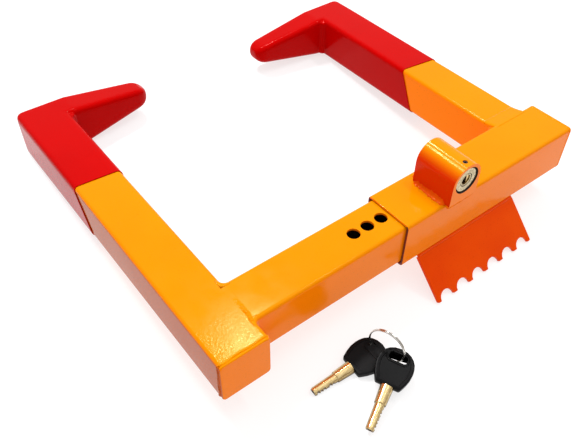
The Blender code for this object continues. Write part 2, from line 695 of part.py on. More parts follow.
def ring_point(share):
    """A point on the split ring's wire, share 0 to 1, in the frame that the keys are placed in."""
    angle = 2 * math.pi * RING_TURNS * (share - 0.5) + RING_START
    aside = (share - 0.5) * RING_TURNS * 2.35 * RING_WIRE
    turn = Matrix.Rotation(RING_HEADING, 3, "Z") @ Matrix.Rotation(-RING_TILT, 3, "X")
    loop = turn @ Vector((RING_RADIUS * math.cos(angle), -aside, RING_RADIUS * math.sin(angle)))
    return Vector((*RING_PLACE, RING_CENTRE_Z)) + loop


def make_split_ring(looks, body):
    count = 48
    curve = bpy.data.curves.new("split_ring", "CURVE")
    curve.dimensions = "3D"
    curve.bevel_depth = RING_WIRE
    curve.bevel_resolution = 2
    curve.use_fill_caps = True
    spline = curve.splines.new("POLY")
    spline.points.add(count - 1)
    for i, point in enumerate(spline.points):
        point.co = (*(ring_point(i / (count - 1)) - body.origin), 1.0)
    curve.materials.append(looks["nickel"])
    ring = bpy.data.objects.new("split_ring", curve)
    ring.parent = body.empty
    bpy.context.scene.collection.objects.link(ring)


# Assembly


def make_looks():
    return {
        "orange": material("orange_enamel", (1.0, 0.31, 0.0), 0.2, 0.0),
        "red": material("red_dip_coating", (0.75, 0.005, 0.003), 0.25, 0.0),
        "steel": material("bare_steel", (0.45, 0.45, 0.46), 0.35, 1.0),
        "nickel": material("nickel_plate", (0.75, 0.73, 0.68), 0.2, 1.0),
        "brass": material("brass", (0.86, 0.62, 0.25), 0.25, 1.0),
        "black": material("black_plastic", (0.012, 0.012, 0.013), 0.35, 0.0),
    }


def centre_on_floor(assembly):
    """Moves the assembly so that its box is centred over the origin and stands on the floor."""
    bpy.context.view_layer.update()
    graph = bpy.context.evaluated_depsgraph_get()
    corners = []
    for obj in bpy.context.view_layer.objects:
        if obj.type in ("MESH", "CURVE") and not obj.hide_render:
            mesh = obj.evaluated_get(graph).to_mesh()
            corners += [obj.matrix_world @ v.co for v in mesh.vertices]
            obj.evaluated_get(graph).to_mesh_clear()
    low = [min(c[i] for c in corners) for i in range(3)]
    high = [max(c[i] for c in corners) for i in range(3)]
    assembly.location = (-(low[0] + high[0]) / 2, -(low[1] + high[1]) / 2, -low[2])


def build():
    clear_scene()
    looks = make_looks()
    assembly = make_body("assembly", None).empty
    crossbar = make_body("crossbar", assembly)
    crossbar.empty.rotation_euler = (-LEAN, 0, 0)
    foot_drop = FRONT_FOOT[1] * math.cos(LEAN) - FRONT_FOOT[0] * math.sin(LEAN)
    crossbar.empty.location.z = -foot_drop
    make_crossbar(looks, crossbar)
    make_right_arm(looks, crossbar)
    make_plate(looks, crossbar)
    make_housing(looks, crossbar)
    make_barrel(looks, crossbar)
    make_set_screw(looks, crossbar)
    slide_axis = (0, OUTER_SIDE / 2, OUTER_SIDE / 2)
    sliding_arm = make_body("sliding_arm", crossbar.empty, slide_axis)
    make_inner_tube(looks, sliding_arm)
    make_left_arm(looks, sliding_arm)
    make_plug(looks, make_body("lock_plug_axis", crossbar.empty, (LOCK_X, 0, LOCK_Z)))
    make_bolt(looks, make_body("locking_bolt_axis", crossbar.empty, (BOLT_X, BOLT_Y, BOLT_LOW_Z)))
    ring_base = (*RING_PLACE, 0.0)
    key_set = make_body("key_set", assembly, ring_base)
    make_split_ring(looks, key_set)
    make_key(1, KEY_1, looks, key_set)
    swing = key_transform(KEY_2) @ Vector((-BOW_SLOT_PLACE, 0, 0))
    swing.z = 0.0
    key_2 = make_body("key_2", key_set.empty, swing - Vector(ring_base))
    make_key(2, KEY_2, looks, Body(key_2.empty, swing))
    centre_on_floor(assembly)


build()
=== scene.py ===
"""Looks for the wheel claw lock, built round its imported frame: enamel, dipped tips, welds, lock face, keys.

Positions are worked out in the lock's own frame, in millimetres. X runs along the crossbar from the outer
tube's mouth, Y runs from the crossbar's front face towards the claws, and Z runs up from the outer tube's
underside. The lock leans about X in the row frame, and the plug's joint says by how much.
"""

import json
import math

import bmesh
import bpy
from mathutils import Matrix, Vector, noise


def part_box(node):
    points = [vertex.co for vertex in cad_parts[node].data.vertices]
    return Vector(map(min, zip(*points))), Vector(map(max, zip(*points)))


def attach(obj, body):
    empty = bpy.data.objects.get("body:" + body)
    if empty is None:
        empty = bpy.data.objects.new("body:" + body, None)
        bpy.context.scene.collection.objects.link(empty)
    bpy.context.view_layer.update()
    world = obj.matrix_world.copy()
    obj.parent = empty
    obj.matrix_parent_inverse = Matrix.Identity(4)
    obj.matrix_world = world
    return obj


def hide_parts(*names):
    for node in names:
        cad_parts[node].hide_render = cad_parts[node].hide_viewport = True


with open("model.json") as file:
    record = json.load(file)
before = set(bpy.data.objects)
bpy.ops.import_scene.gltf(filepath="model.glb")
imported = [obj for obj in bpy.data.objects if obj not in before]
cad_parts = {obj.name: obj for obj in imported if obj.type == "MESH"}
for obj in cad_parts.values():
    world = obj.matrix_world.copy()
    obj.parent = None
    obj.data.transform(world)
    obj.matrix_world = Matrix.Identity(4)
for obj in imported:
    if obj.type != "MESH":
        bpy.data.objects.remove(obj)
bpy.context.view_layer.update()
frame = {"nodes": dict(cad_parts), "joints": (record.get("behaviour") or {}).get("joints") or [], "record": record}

MM = 0.001
PLUG_POINT = (55.0, -2.5, 65.6)  # the plug joint's place in the lock's frame
OUTER = 45.0
ARM_LOW, ARM_HIGH = 2.5, 42.5
LEFT_ARM_X = (-180.8, -140.8)
RIGHT_ARM_X = (149.8, 189.8)
LEFT_FRONT_Y = -14.8
LEFT_BACK_Y, RIGHT_BACK_Y = 318.3, 309.2
CLAW_DEPTH = 27.0
CORNER = 3.2
PLATE_X = (18.3, 136.3)
HOUSING_X = (40.0, 70.0)
HOUSING_Y = (-3.5, 36.4)
HOUSING_BORE = 12.2
DIP_SLOPE = 0.46
COAT = 0.9

plug_joint = next(j for j in frame["joints"] if j["name"] == "plug_turn")
LEAN = math.atan2(plug_joint["axis"][2], -plug_joint["axis"][1])
TURN = Matrix.Rotation(-LEAN, 4, "X")
START = Vector(plug_joint["pos_m"]) - TURN @ (Vector(PLUG_POINT) * MM)
LOCK = Matrix.Translation(START) @ TURN @ Matrix.Scale(MM, 4)


# Materials


class Nodes:
    """A material's node tree, with short calls for the nodes that these finishes share."""

    def __init__(self, name):
        self.material = bpy.data.materials.new(name)
        self.material.use_nodes = True
        self.tree = self.material.node_tree
        self.shader = self.tree.nodes["Principled BSDF"]
        self.place = self.add("ShaderNodeTexCoord").outputs["Object"]

    def add(self, kind, **settings):
        node = self.tree.nodes.new(kind)
        for key, value in settings.items():
            if key in node.inputs:
                node.inputs[key].default_value = value
            else:
                setattr(node, key, value)
        return node

    def link(self, source, target):
        self.tree.links.new(source, target)

    def set(self, **values):
        for key, value in values.items():
            self.shader.inputs[key.replace("_", " ")].default_value = value

    def stretched(self, scale):
        mapping = self.add("ShaderNodeMapping")
        mapping.inputs["Scale"].default_value = scale
        self.link(self.place, mapping.inputs["Vector"])
        return mapping.outputs["Vector"]

    def noise(self, scale, detail=2.0, vector=None, roughness=0.5):
        node = self.add("ShaderNodeTexNoise", Scale=scale, Detail=detail, Roughness=roughness)
        self.link(vector or self.place, node.inputs["Vector"])
        return node.outputs["Fac"]

    def facing_up(self, low, high):
        """0 where the surface's normal rises by less than low, up to 1 where it rises by more than high."""
        apart = self.add("ShaderNodeSeparateXYZ")
        self.link(self.add("ShaderNodeTexCoord").outputs["Normal"], apart.inputs["Vector"])
        return self.ramp(apart.outputs["Z"], 0.0, 1.0, (low, high))

    def ramp(self, factor, low, high, at=(0.35, 0.65)):
        node = self.add("ShaderNodeMapRange")
        self.link(factor, node.inputs["Value"])
        node.inputs["From Min"].default_value = at[0]
        node.inputs["From Max"].default_value = at[1]
        node.inputs["To Min"].default_value = low
        node.inputs["To Max"].default_value = high
        return node.outputs["Result"]

    def mix(self, factor, first, second):
        node = self.add("ShaderNodeMix", data_type="RGBA")
        self.link(factor, node.inputs["Factor"])
        for socket, colour in ((node.inputs[6], first), (node.inputs[7], second)):
            if isinstance(colour, tuple):
                socket.default_value = (*colour, 1.0)
            else:
                self.link(colour, socket)
        return node.outputs[2]

    def bump(self, height, strength, distance, under=None):
        node = self.add("ShaderNodeBump", Strength=strength, Distance=distance)
        self.link(height, node.inputs["Height"])
        if under is not None:
            self.link(under, node.inputs["Normal"])
        return node.outputs["Normal"]


def enamel(name, light, deep, tint, peel=0.10, wave=0.25, upright=None, flank=None, dressed=None):
    """Thick glossy paint: slow drifts in colour and gloss, orange peel, and a long wave left by its flow.

    The upright colour is painted shade: a deeper, redder orange for upright faces, which get less light than the
    tops.
    The flank is painted shade: a darker, redder colour, with the two X places between which the paint turns to it
    going towards -X, for a side that gets less light.
    dressed is the two Y places between which the paint turns to the uneven paint over ground steel.
    """
    n = Nodes(name)
    apart = n.add("ShaderNodeSeparateXYZ")
    n.link(n.place, apart.inputs["Vector"])
    colour = n.mix(n.ramp(n.noise(14.0, 3.0), 0.0, 1.0), light, deep)
    # Painted shade: upright faces turn to a deeper, redder orange than the tops, as they get less light.
    if upright:
        colour = n.mix(n.facing_up(0.3, 0.85), upright, colour)
    # Painted shade: towards -X, past the flank's two X places, the paint turns to the darker flank colour, as that
    # side gets less light.
    if flank:
        colour = n.mix(n.ramp(apart.outputs["X"], 1.0, 0.0, flank[1]), colour, flank[0])
    speck = n.ramp(n.noise(900.0, 1.0), 0.0, 0.35, (0.66, 0.74))
    n.link(n.mix(speck, colour, tuple(0.6 * c for c in deep)), n.shader.inputs["Base Color"])
    n.link(n.ramp(n.noise(60.0, 3.0), 0.09, 0.18), n.shader.inputs["Roughness"])
    skin_bump = n.bump(n.noise(28.0, 1.0), wave, 0.0008)
    if dressed:
        pitted = n.bump(n.noise(480.0, 3.0, roughness=0.6), 0.7, 0.00014, skin_bump)
        blend = n.add("ShaderNodeMix", data_type="VECTOR")
        n.link(n.ramp(apart.outputs["Y"], 1.0, 0.0, dressed), blend.inputs["Factor"])
        n.link(skin_bump, blend.inputs[4])
        n.link(pitted, blend.inputs[5])
        skin_bump = blend.outputs[1]
    n.link(n.bump(n.noise(420.0, 2.0), peel, 0.00012, skin_bump), n.shader.inputs["Normal"])
    n.set(IOR=1.2, Specular_Tint=(*tint, 1.0))
    return n.material


def plated(name, colour, shade, rough, streaks, side_shade=None):
    """Plated or machined metal with fine tool marks.

    streaks is the stretch of the marks in X, Y and Z.
    The colour given for the faces that look down or sideways is painted shade, the dark that those faces would
    reflect.
    """
    n = Nodes(name)
    marks = n.noise(1.0, 3.0, n.stretched(streaks), 0.6)
    skin = n.mix(n.ramp(marks, 0.0, 1.0), colour, shade)
    # Painted shade: brass faces that look down or sideways turn to the dark colour that they would reflect.
    if side_shade:
        skin = n.mix(n.facing_up(0.1, 0.75), side_shade, skin)
    n.link(skin, n.shader.inputs["Base Color"])
    n.link(n.ramp(marks, rough * 0.75, rough * 1.5), n.shader.inputs["Roughness"])
    n.link(n.bump(marks, 0.12, 0.00008), n.shader.inputs["Normal"])
    n.set(Metallic=1.0)
    return n.material


def moulded(name, colour):
    n = Nodes(name)
    grain = n.noise(1600.0, 2.0)
    soft = n.noise(90.0, 2.0)
    worn = tuple(2.2 * c for c in colour)
    n.link(n.mix(n.ramp(soft, 0.0, 1.0), colour, worn), n.shader.inputs["Base Color"])
    n.link(n.ramp(soft, 0.28, 0.42), n.shader.inputs["Roughness"])
    n.link(n.bump(grain, 0.25, 0.00006), n.shader.inputs["Normal"])
    n.set(IOR=1.17)
    return n.material


def dull(name, colour, shade):
    n = Nodes(name)
    n.link(n.mix(n.ramp(n.noise(120.0, 4.0), 0.0, 1.0), colour, shade), n.shader.inputs["Base Color"])
    n.link(n.bump(n.noise(700.0, 3.0), 0.3, 0.0001), n.shader.inputs["Normal"])
    n.set(Roughness=0.7)
    return n.material


def floor_paint(name):
    """A lit table: its own light keeps it pale under the lock, and what falls on it leaves soft shadows."""
    n = Nodes(name)
    n.link(n.mix(n.noise(3.0, 2.0), (0.30, 0.30, 0.31), (0.33, 0.33, 0.33)), n.shader.inputs["Base Color"])
    n.set(Roughness=0.7, IOR=1.2, Emission_Color=(1.0, 1.0, 1.0, 1.0), Emission_Strength=0.71)
    return n.material


def place_of(axis, *points):
    """Row-frame places, along axis 0 to 2, of points given in the lock's frame."""
    return tuple((LOCK @ Vector(p))[axis] for p in points)


GOLD_TINT = (1.0, 0.70, 0.25)
PAINT = ((0.68, 0.222, 0.0004), (0.66, 0.206, 0.0003), GOLD_TINT)
# Painted shade: the deeper, redder orange of upright faces, which get less light than the tops.
UPRIGHT_SHADE = (0.90, 0.200, 0.0004)
# Painted shade: the housing's flank turns dark red between these X places, as it gets less light.
FLANK_SHADE_TURNS = place_of(0, (40.7, 0, 0), (46.6, 0, 0))
DRESSED_TURNS = place_of(1, (0, 12, ARM_HIGH), (0, 34, ARM_HIGH))
ORANGE = enamel("orange_enamel_gloss", *PAINT, upright=UPRIGHT_SHADE)
# Painted shade: the left arm's outer side turns a darker, redder orange, as it gets less light.
OUTER_SIDE_SHADE_TURNS = place_of(0, (LEFT_ARM_X[0] + 0.05, 0, 0), (LEFT_ARM_X[0] + 0.5, 0, 0))
OUTER_SIDE_SHADE = ((0.42, 0.070, 0.0003), OUTER_SIDE_SHADE_TURNS)
# The dressed paint carries the outer side's painted shade as well as the pitted paint over ground steel.
DRESSED_AND_SHADED_ORANGE = enamel(
    "orange_enamel_dressed_and_shaded", *PAINT, upright=UPRIGHT_SHADE, flank=OUTER_SIDE_SHADE, dressed=DRESSED_TURNS
)
# Painted shade: a darker, redder copy of the orange for the plate and its weld, which get less light than the
# tops.
PLATE_SHADE_ORANGE = enamel("orange_enamel_plate_shade", (0.78, 0.070, 0.0004), (0.72, 0.050, 0.0004), GOLD_TINT)
# Painted shade: the housing's arch and flank, the orange turning dark red towards -X.
FLANK_SHADE_ORANGE = enamel("orange_enamel_flank_shade", *PAINT, flank=((0.64, 0.026, 0.0004), FLANK_SHADE_TURNS))
# Painted shade: a darker, redder copy of the orange for the housing's welds, which sit low beside the housing in
# less light.
WELD_SHADE_ORANGE = enamel("orange_enamel_weld_shade", (0.70, 0.11, 0.0004), (0.64, 0.06, 0.0004), GOLD_TINT)
RED_TINT = (1.0, 0.10, 0.08)
RED = enamel("red_dip_gloss", (0.43, 0.0003, 0.0003), (0.40, 0.0003, 0.0003), RED_TINT, 0.06, 0.35)
# Painted shade: near black for the hollows inside the tubes, the housing's bore, the lock face's gaps, the blades'
# bores and the set screw, where light does not reach.
HOLLOW_SHADE = dull("tube_inside_shade", (0.012, 0.007, 0.005), (0.03, 0.014, 0.008))
# Painted shade: dark red-brown on the outer tube's inner walls, seen as a dark line at its mouth.
MOUTH_SHADE = dull("tube_mouth_shade", (0.20, 0.012, 0.002), (0.10, 0.008, 0.002))
STEEL = plated("steel_machined", (0.55, 0.55, 0.56), (0.38, 0.38, 0.39), 0.3, (500, 60, 500))
NICKEL = plated("nickel_bright", (0.72, 0.70, 0.66), (0.50, 0.48, 0.44), 0.12, (900, 90, 900))
FACE_NICKEL = plated("nickel_face", (0.60, 0.51, 0.31), (0.30, 0.24, 0.13), 0.14, (700, 90, 700))
# Painted shade: the dark brown of brass faces that look down or sideways, standing in for the dark surroundings
# they would reflect.
BRASS_SIDE_SHADE = (0.10, 0.055, 0.02)
BRASS = plated("brass_milled", (0.86, 0.68, 0.35), (0.52, 0.36, 0.15), 0.20, (260, 900, 900), BRASS_SIDE_SHADE)
DISC_BRASS = plated("brass_disc", (0.80, 0.60, 0.30), (0.60, 0.40, 0.16), 0.20, (500, 500, 500))
BLACK = moulded("black_moulded", (0.002, 0.002, 0.0022))


# Pieces


def add_piece(name, bm, looks, body):
    """bm is in the row frame, in metres."""
    mesh = bpy.data.meshes.new(name)
    bm.to_mesh(mesh)
    bm.free()
    for look in looks:
        mesh.materials.append(look)
    mesh.shade_smooth()
    piece = bpy.data.objects.new(name, mesh)
    bpy.context.scene.collection.objects.link(piece)
    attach(piece, body)
    return piece


def soften(piece, width):
    bevel = piece.modifiers.new("Edges", "BEVEL")
    bevel.width = width * MM
    bevel.segments = 3
    bevel.limit_method = "ANGLE"
    bevel.angle_limit = math.radians(35)
    even = piece.modifiers.new("Even", "WEIGHTED_NORMAL")
    even.keep_sharp = True


def merged(node):
    """A CAD node's own shape as one joined mesh, with its flat faces whole again."""
    bm = bmesh.new()
    bm.from_mesh(frame["nodes"][node].data)
    bmesh.ops.remove_doubles(bm, verts=bm.verts, dist=5e-6)
    bmesh.ops.dissolve_limit(bm, angle_limit=math.radians(0.6), verts=bm.verts, edges=bm.edges)
    for face in bm.faces:
        face.material_index = 0
    bm.normal_update()
    return bm


def body_of(node):
    for body, members in frame["record"]["behaviour"]["bodies"].items():
        if node in members:
            return body
    return None


def finish_node(node, looks, width, change=None):
    """The node's own shape with softened edges, and a change to its mesh first where it has one."""
    bm = merged(node)
    if change:
        change(bm)
    piece = add_piece(f"{node}_finished", bm, looks, body_of(node))
    soften(piece, width)
    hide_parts(node)


def paint_inside_shade(half):
    """Gives a crossbar tube's inner walls the second material, a painted shade; half is half the width of the
    hollow.
    """
    back = LOCK.inverted()

    def change(bm):
        for face in bm.faces:
            centre = back @ face.calc_center_median()
            if max(abs(centre.y - OUTER / 2), abs(centre.z - OUTER / 2)) < half + 0.05:
                face.material_index = 1

    return change


ACROSS = (TURN.to_3x3() @ Vector((0, 1, 0))).normalized()


def from_lock_axis(point):
    """How far a row-frame point is from the cylinder's axis, in millimetres."""
    p = LOCK.inverted() @ point
    return math.hypot(p.x - PLUG_POINT[0], p.z - PLUG_POINT[2])


def paint_arch(bm):
    """Gives the housing's arch and flanks the second material, which carries the flank's painted shade, and its
    bore the third, a near-black painted shade.
    """
    for face in bm.faces:
        if abs(face.normal.dot(ACROSS)) < 0.5:
            in_bore = from_lock_axis(face.calc_center_median()) < HOUSING_BORE + 0.8
            face.material_index = 2 if in_bore else 1


def paint_wall_shade(low, high):
    """Gives the second material, a painted shade, to walls and narrow rings round the cylinder's axis between two
    radii.
    """

    def change(bm):
        for face in bm.faces:
            radii = [from_lock_axis(v.co) for v in face.verts]
            wall = abs(face.normal.dot(ACROSS)) < 0.5
            if low < min(radii) and max(radii) < high and (wall or max(radii) - min(radii) < 1.6):
                face.material_index = 1

    return change


# Welds


BEAD_STEP = 0.6


def wobble(s, seed):
    return noise.noise(Vector((s, seed * 7.3, 0.5)))


def resample(path, step):
    points = [Vector(path[0])]
    for a, b in zip(path, path[1:]):
        a, b = Vector(a), Vector(b)
        count = max(1, round((b - a).length / step))
        points += [a.lerp(b, i / count) for i in range(1, count + 1)]
    return points


def close_ends(bm, rings):
    bm.faces.new(rings[0][::-1])
    bm.faces.new(rings[-1])


def loft(rings, closed=False):
    """A skin through rings of points in the lock's frame, returned in the row frame."""
    bm = bmesh.new()
    made = [[bm.verts.new(LOCK @ p) for p in ring] for ring in rings]
    count = len(made[0])
    pairs = list(zip(made, made[1:]))
    if closed:
        pairs.append((made[-1], made[0]))
    for a, b in pairs:
        for i in range(count):
            j = (i + 1) % count
            bm.faces.new((a[i], a[j], b[j], b[i]))
    if not closed:
        close_ends(bm, made)
    bmesh.ops.recalc_face_normals(bm, faces=bm.faces)
    return bm


def bead(
    name, path, radius, body, closed=False, ripple=0.16, pitch=2.6, sway=0.3, seed=1, look=None, swayed=None
):
    """A weld bead: a bar along the path with curved ripples, half sunk in the joint that it closes.

    swayed is the one direction in which the bead may wander off its path.
    """
    points = resample(path, BEAD_STEP)
    if closed:
        points.pop()
    count = len(points)
    sides = 12
    rings = []
    for i, point in enumerate(points):
        before = points[i - 1] if i or closed else point
        after = points[(i + 1) % count] if i < count - 1 or closed else point
        along = (after - before).normalized()
        across = along.orthogonal().normalized()
        other = along.cross(across)
        s = i * BEAD_STEP
        end = min(1.0, (min(i, count - 1 - i) * BEAD_STEP + 0.15) / radius)
        taper = 1.0 if closed else math.sqrt(1 - (1 - end) ** 2)
        shift = sway * wobble(s * 0.11, seed)
        ring = []
        for k in range(sides):
            angle = 2 * math.pi * k / sides
            out = across * math.cos(angle) + other * math.sin(angle)
            phase = s + 0.7 * radius * wobble(angle * 0.5, seed + 3)
            wave = abs(math.sin(math.pi * phase / pitch)) ** 0.7
            size = radius * taper * (1 - ripple + ripple * wave + 0.10 * wobble(s * 0.35, seed + k * 0.1))
            ring.append(point + out * size + (swayed or across) * shift)
        rings.append(ring)
    return add_piece(name, loft(rings, closed), [look or ORANGE], body)


def fillet(name, start, end, first, second, radius, body, bumps=0.10, seed=1, look=None):
    """A hollow-faced weld down the corner between two faces.

    first and second run along the two faces, away from the corner. The weld's two ends draw in as the tubes'
    rounded edges do.
    """
    start, end, first, second = (Vector(v) for v in (start, end, first, second))
    length = (end - start).length
    stops = [CORNER * (1 - math.cos(math.radians(a))) for a in (0, 15, 30, 45, 60, 75, 90)]
    count = max(2, round((length - 2 * CORNER) / 0.8))
    stops += [CORNER + (length - 2 * CORNER) * i / count for i in range(1, count)]
    stops += [length - s for s in reversed(stops[:7])]
    rings = []
    for s in stops:
        reach = min(CORNER, s, length - s)
        inset = CORNER - math.sqrt(CORNER**2 - (CORNER - reach) ** 2)
        calm = reach / CORNER
        size = radius * (1 + calm * bumps * (wobble(s * 0.4, seed) - 0.25 * abs(math.sin(s * 1.3))))
        corner = start.lerp(end, s / length)
        centre = corner + (first + second) * size
        deep = 0.4 + inset
        arc = size + inset
        ring = [corner - (first + second) * deep, corner + first * size - second * deep]
        for k in range(9):
            angle = math.radians(90 * k / 8)
            ring.append(centre - second * arc * math.cos(angle) - first * arc * math.sin(angle))
        ring.append(corner + second * size - first * deep)
        rings.append(ring)
    return add_piece(name, loft(rings), [look or ORANGE], body)


def square_path(axis_at, low, high, corner, place):
    """A closed path round a tube; place turns (u, v) and axis_at into a point."""
    points = []
    spots = ((high[0], high[1], 0), (low[0], high[1], 90), (low[0], low[1], 180), (high[0], low[1], 270))
    for u, v, turn in spots:
        cu = u - math.copysign(corner, u - (low[0] + high[0]) / 2)
        cv = v - math.copysign(corner, v - (low[1] + high[1]) / 2)
        for k in range(5):
            angle = math.radians(turn + 90 * k / 4)
            points.append(place(cu + corner * math.cos(angle), cv + corner * math.sin(angle), axis_at))
    return points + [points[0]]


def make_left_joint():
    """The sliding arm's joint to the inner tube, dressed flat at the back of the top and rippled in front."""
    x = LEFT_ARM_X[1]
    back_y, front_y = 39.8, 2.8
    rings = []
    count = 60
    for i in range(count + 1):
        y = back_y - (back_y - front_y) * i / count
        rough = min(1.0, 3.0 * max(0.0, i / count - 0.35))
        shift = rough * wobble(y * 0.25, 4)
        past_edge = max(0.0, ARM_LOW + CORNER - y)
        top = ARM_HIGH - 0.5 * (CORNER - math.sqrt(CORNER**2 - past_edge**2))
        ring = []
        for k in range(21):
            u = -1 + 2 * k / 20
            ridge = max(0.0, 1 - (1.6 * u) ** 2) ** 1.5
            lumps = 0.70 + 0.45 * math.sin(y * 2.4 + 1.8 * u) + 0.7 * wobble(y * 0.4, 2)
            height = 0.02 + rough * ridge * lumps
            ring.append(Vector((x - 1.2 + shift + 2.6 * u, y, top + height - 0.03 * u**8)))
        ring.append(Vector((x + 1.0, y, top - 1.5)))
        ring.append(Vector((x - 0.3, y, top - 2.8)))
        ring.append(Vector((x - 3.0, y, top - 1.0)))
        rings.append(ring)
    add_piece("left_joint_top_weld", loft(rings), [ORANGE], "sliding_arm")
    low, high = ARM_LOW - 0.02, ARM_HIGH + 0.02
    right, back, front = (1, 0, 0), (0, 1, 0), (0, -1, 0)
    inner = (x, ARM_HIGH, low), (x, ARM_HIGH, high)
    fillet("left_joint_inner_weld", *inner, right, back, 4.6, "sliding_arm", 0.05)
    outer = (x, ARM_LOW, low), (x, ARM_LOW, high)
    fillet("left_joint_front_weld", *outer, right, front, 3.2, "sliding_arm", 0.16, 5)
    under = [(x - 1.0, 41.0, ARM_LOW + 0.9), (x - 1.0, 4.0, ARM_LOW + 0.9)]
    bead("left_joint_under_weld", under, 2.2, "sliding_arm", seed=6)


def make_end_seams():
    low, high = (LEFT_ARM_X[0] + 0.5, ARM_LOW + 0.5), (LEFT_ARM_X[1] - 0.5, ARM_HIGH - 0.5)
    seam = square_path(LEFT_FRONT_Y + 3.4, low, high, CORNER - 0.5, lambda u, v, w: Vector((u, w, v)))
    along_arm = Vector((0, 1, 0))
    bead("left_arm_end_seam", seam, 1.15, "sliding_arm", True, 0.12, 3.4, 2.2, 9, DRESSED_AND_SHADED_ORANGE, along_arm)
    low, high = (0.6, 0.6), (OUTER - 0.6, OUTER - 0.6)
    seam = square_path(199.75, low, high, CORNER - 0.6, lambda u, v, w: Vector((w, u, v)))
    bead("outer_tube_end_seam", seam, 0.85, "crossbar", True, 0.10, 3.0, 0.5, 11, swayed=Vector((-1, 0, 0)))


def make_right_joint():
    """The fixed arm's joint to the outer tube, with its top dressed to a slope between the two levels."""
    near, far = RIGHT_ARM_X
    low, high = ARM_LOW - 0.02, ARM_HIGH + 0.02
    left, right, back = (-1, 0, 0), (1, 0, 0), (0, 1, 0)
    inner = (near, OUTER, low), (near, OUTER, high)
    fillet("right_joint_inner_weld", *inner, left, back, 4.6, "crossbar", 0.06, 2)
    outer = (far, OUTER, low), (far, OUTER, high)
    fillet("right_joint_outer_weld", *outer, right, back, 4.0, "crossbar", 0.10, 3)
    rings = []
    count = 46
    for i in range(count + 1):
        x = near + 0.3 + (far - near - 0.6) * i / count
        edge = min(1.0, min(i, count - i) / 5)
        drop = 1.6 * (1 - math.sqrt(1 - (1 - edge) ** 2))
        ring = []
        for k in range(13):
            t = k / 12
            ease = t * t * (3 - 2 * t)
            ripple = 0.10 * wobble(x * 0.2 + 3 * t, 8) * math.sin(math.pi * t)
            top = OUTER + 0.05 + (ARM_HIGH + 0.05 - OUTER) * ease
            sunk = drop * math.sin(math.pi * min(1.0, 2 * t) / 2)
            ring.append(Vector((x, 41.0 + 15.0 * t, top + ripple - sunk)))
        ring.append(Vector((x, 56.0, ARM_HIGH - 1.2)))
        ring.append(Vector((x, 46.0, ARM_HIGH - 1.6)))
        ring.append(Vector((x, 44.0, ARM_HIGH - 0.6)))
        ring.append(Vector((x, 41.0, OUTER - 0.8)))
        rings.append(ring)
    add_piece("right_joint_top_weld", loft(rings), [ORANGE], "crossbar")
    under = [(near + 2, OUTER + 0.6, ARM_LOW + 0.4), (far - 2, OUTER + 0.6, ARM_LOW + 0.4)]
    bead("right_joint_under_weld", under, 2.4, "crossbar", seed=12)


def make_housing_welds():
    z = OUTER + 0.2
    front, back = HOUSING_Y[0] + 4.3, HOUSING_Y[1]
    left, right = HOUSING_X
    for name, start, end, first, second, seed in (
        ("housing_left_weld", (left, back - 1, z), (left, front, z), (-1, 0, 0), (0, 0, 1), 14),
        ("housing_right_weld", (right, front, z), (right, back - 1, z), (1, 0, 0), (0, 0, 1), 15),
        ("housing_back_weld", (left + 1, back, z), (right - 1, back, z), (0, 1, 0), (0, 0, 1), 16),
    ):
        fillet(name, start, end, first, second, 3.4, "crossbar", 0.45, seed, WELD_SHADE_ORANGE)
    rings = []
    count = 40
    for i in range(count + 1):
        x = left + 0.6 + (right - left - 1.2) * i / count
        edge = math.sqrt(max(0.0, 1 - (2 * i / count - 1) ** 6))
        bump = 0.25 * wobble(x * 0.3, 18)
        ring = [Vector((x, 0.6, OUTER + 0.9)), Vector((x, HOUSING_Y[0] + 0.25, OUTER + 0.9))]
        for k in range(8):
            t = k / 7
            y = HOUSING_Y[0] + 0.15 + 3.55 * t**1.6
            ring.append(Vector((x, y - bump * math.sin(math.pi * t), OUTER + 0.4 - (1.0 + 6.5 * edge) * t)))
        ring.append(Vector((x, 0.8, OUTER - 1 - 6.5 * edge)))
        rings.append(ring)
    add_piece("housing_front_weld", loft(rings), [ORANGE], "crossbar")


def make_plate_weld():
    a, b = PLATE_X
    path = [(a + 0.5, 0.75, -0.35), (b - 0.5, 0.75, -0.35)]
    bead("plate_weld", path, 1.7, "crossbar", ripple=0.08, sway=0.2, seed=20, look=PLATE_SHADE_ORANGE)


# Claw tips


def rounded_bar(bm, arm_x, start_y, end_y):
    """An arm's own section as a closed bar."""
    near, far = arm_x
    corners = ((far, ARM_HIGH, 0), (near, ARM_HIGH, 90), (near, ARM_LOW, 180), (far, ARM_LOW, 270))
    rings = []
    for y in (start_y, end_y):
        ring = []
        for u, v, turn in corners:
            cu = u - math.copysign(CORNER, u - sum(arm_x) / 2)
            cv = v - math.copysign(CORNER, v - OUTER / 2)
            for k in range(7):
                angle = math.radians(turn + 90 * k / 6)
                ring.append(Vector((cu + CORNER * math.cos(angle), y, cv + CORNER * math.sin(angle))))
        rings.append([bm.verts.new(p) for p in ring])
    low, high = rings
    for i in range(len(low)):
        j = (i + 1) % len(low)
        bm.faces.new((low[i], low[j], high[j], high[i]))
    close_ends(bm, rings)


def corner_bar(bm, x, y, radius):
    """The weld in the inner corner between arm and claw, as an upright bar."""
    rings = []
    sides = 16
    for z in (ARM_LOW + 1.5, ARM_HIGH - 2.5):
        turns = [2 * math.pi * k / sides for k in range(sides)]
        ring = [Vector((x + radius * math.cos(a), y + radius * math.sin(a), z)) for a in turns]
        rings.append([bm.verts.new(p) for p in ring])
    for i in range(sides):
        j = (i + 1) % sides
        bm.faces.new((rings[0][i], rings[0][j], rings[1][j], rings[1][i]))
    close_ends(bm, rings)


